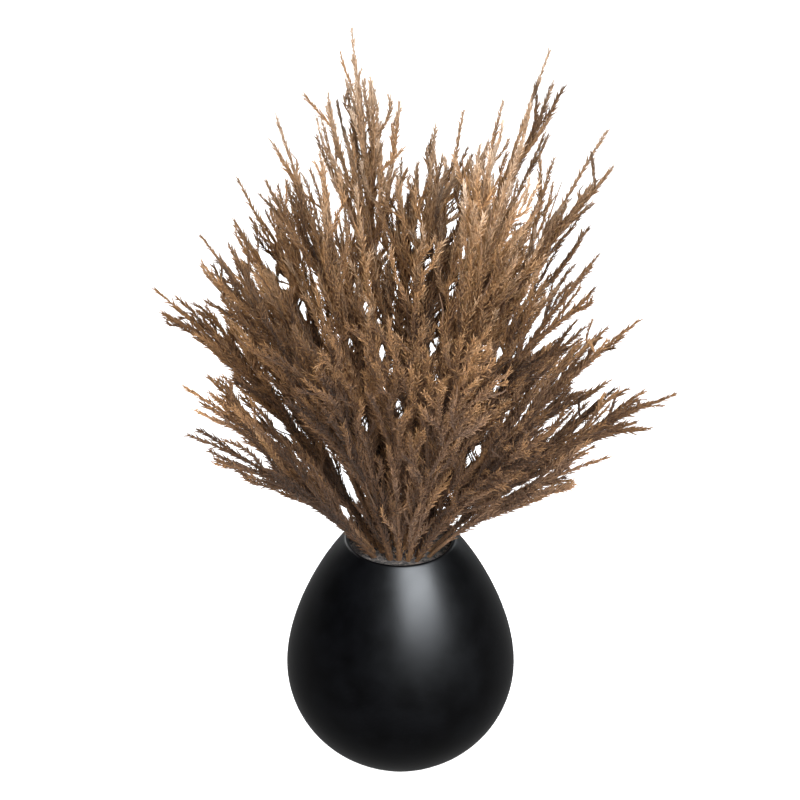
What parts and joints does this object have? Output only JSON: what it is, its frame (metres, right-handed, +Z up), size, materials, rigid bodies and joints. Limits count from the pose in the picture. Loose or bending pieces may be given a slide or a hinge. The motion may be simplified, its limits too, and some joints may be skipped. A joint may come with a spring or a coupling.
{
  "type": "dried pampas grass in pot",
  "caption": "Bunch of dried brown grass plumes that fan out of the mouth of a round egg-shaped matte black pot, set in a filler.",
  "frame": {"origin": "centre of the pot's flat base, on the surface that it stands on", "axes": "+Z up out of the pot's mouth, +X to the right and -Y towards the viewer of the picture"},
  "size_m": [0.2996, 0.2575, 0.4423],
  "materials": {
    "pot_glaze": "smooth matte to satin black",
    "filler_grit": "rough loose grit",
    "dried_grass": "dry, fluffy, matte golden to grey brown"
  },
  "bodies": {
    "root": {"pot": "pot_glaze", "filler": "filler_grit", "plume_centre": "dried_grass", "plume_tall_left": "dried_grass", "plume_upper_left": "dried_grass", "plume_inner_right": "dried_grass", "plume_tall_right": "dried_grass", "plume_back_middle": "dried_grass", "plume_left_shoulder": "dried_grass", "plume_left": "dried_grass", "plume_right_shoulder": "dried_grass", "plume_right": "dried_grass", "plume_front_left": "dried_grass", "plume_front": "dried_grass", "plume_front_right": "dried_grass", "plume_far_left": "dried_grass", "plume_low_left": "dried_grass", "plume_low_front_left": "dried_grass", "plume_back_left": "dried_grass", "plume_back_right": "dried_grass", "plume_upper_far_right": "dried_grass", "plume_far_right": "dried_grass", "plume_low_right": "dried_grass", "plume_back_far_right": "dried_grass", "plume_back_far_left": "dried_grass", "plume_low_front_right": "dried_grass"}
  },
  "joints": []
}
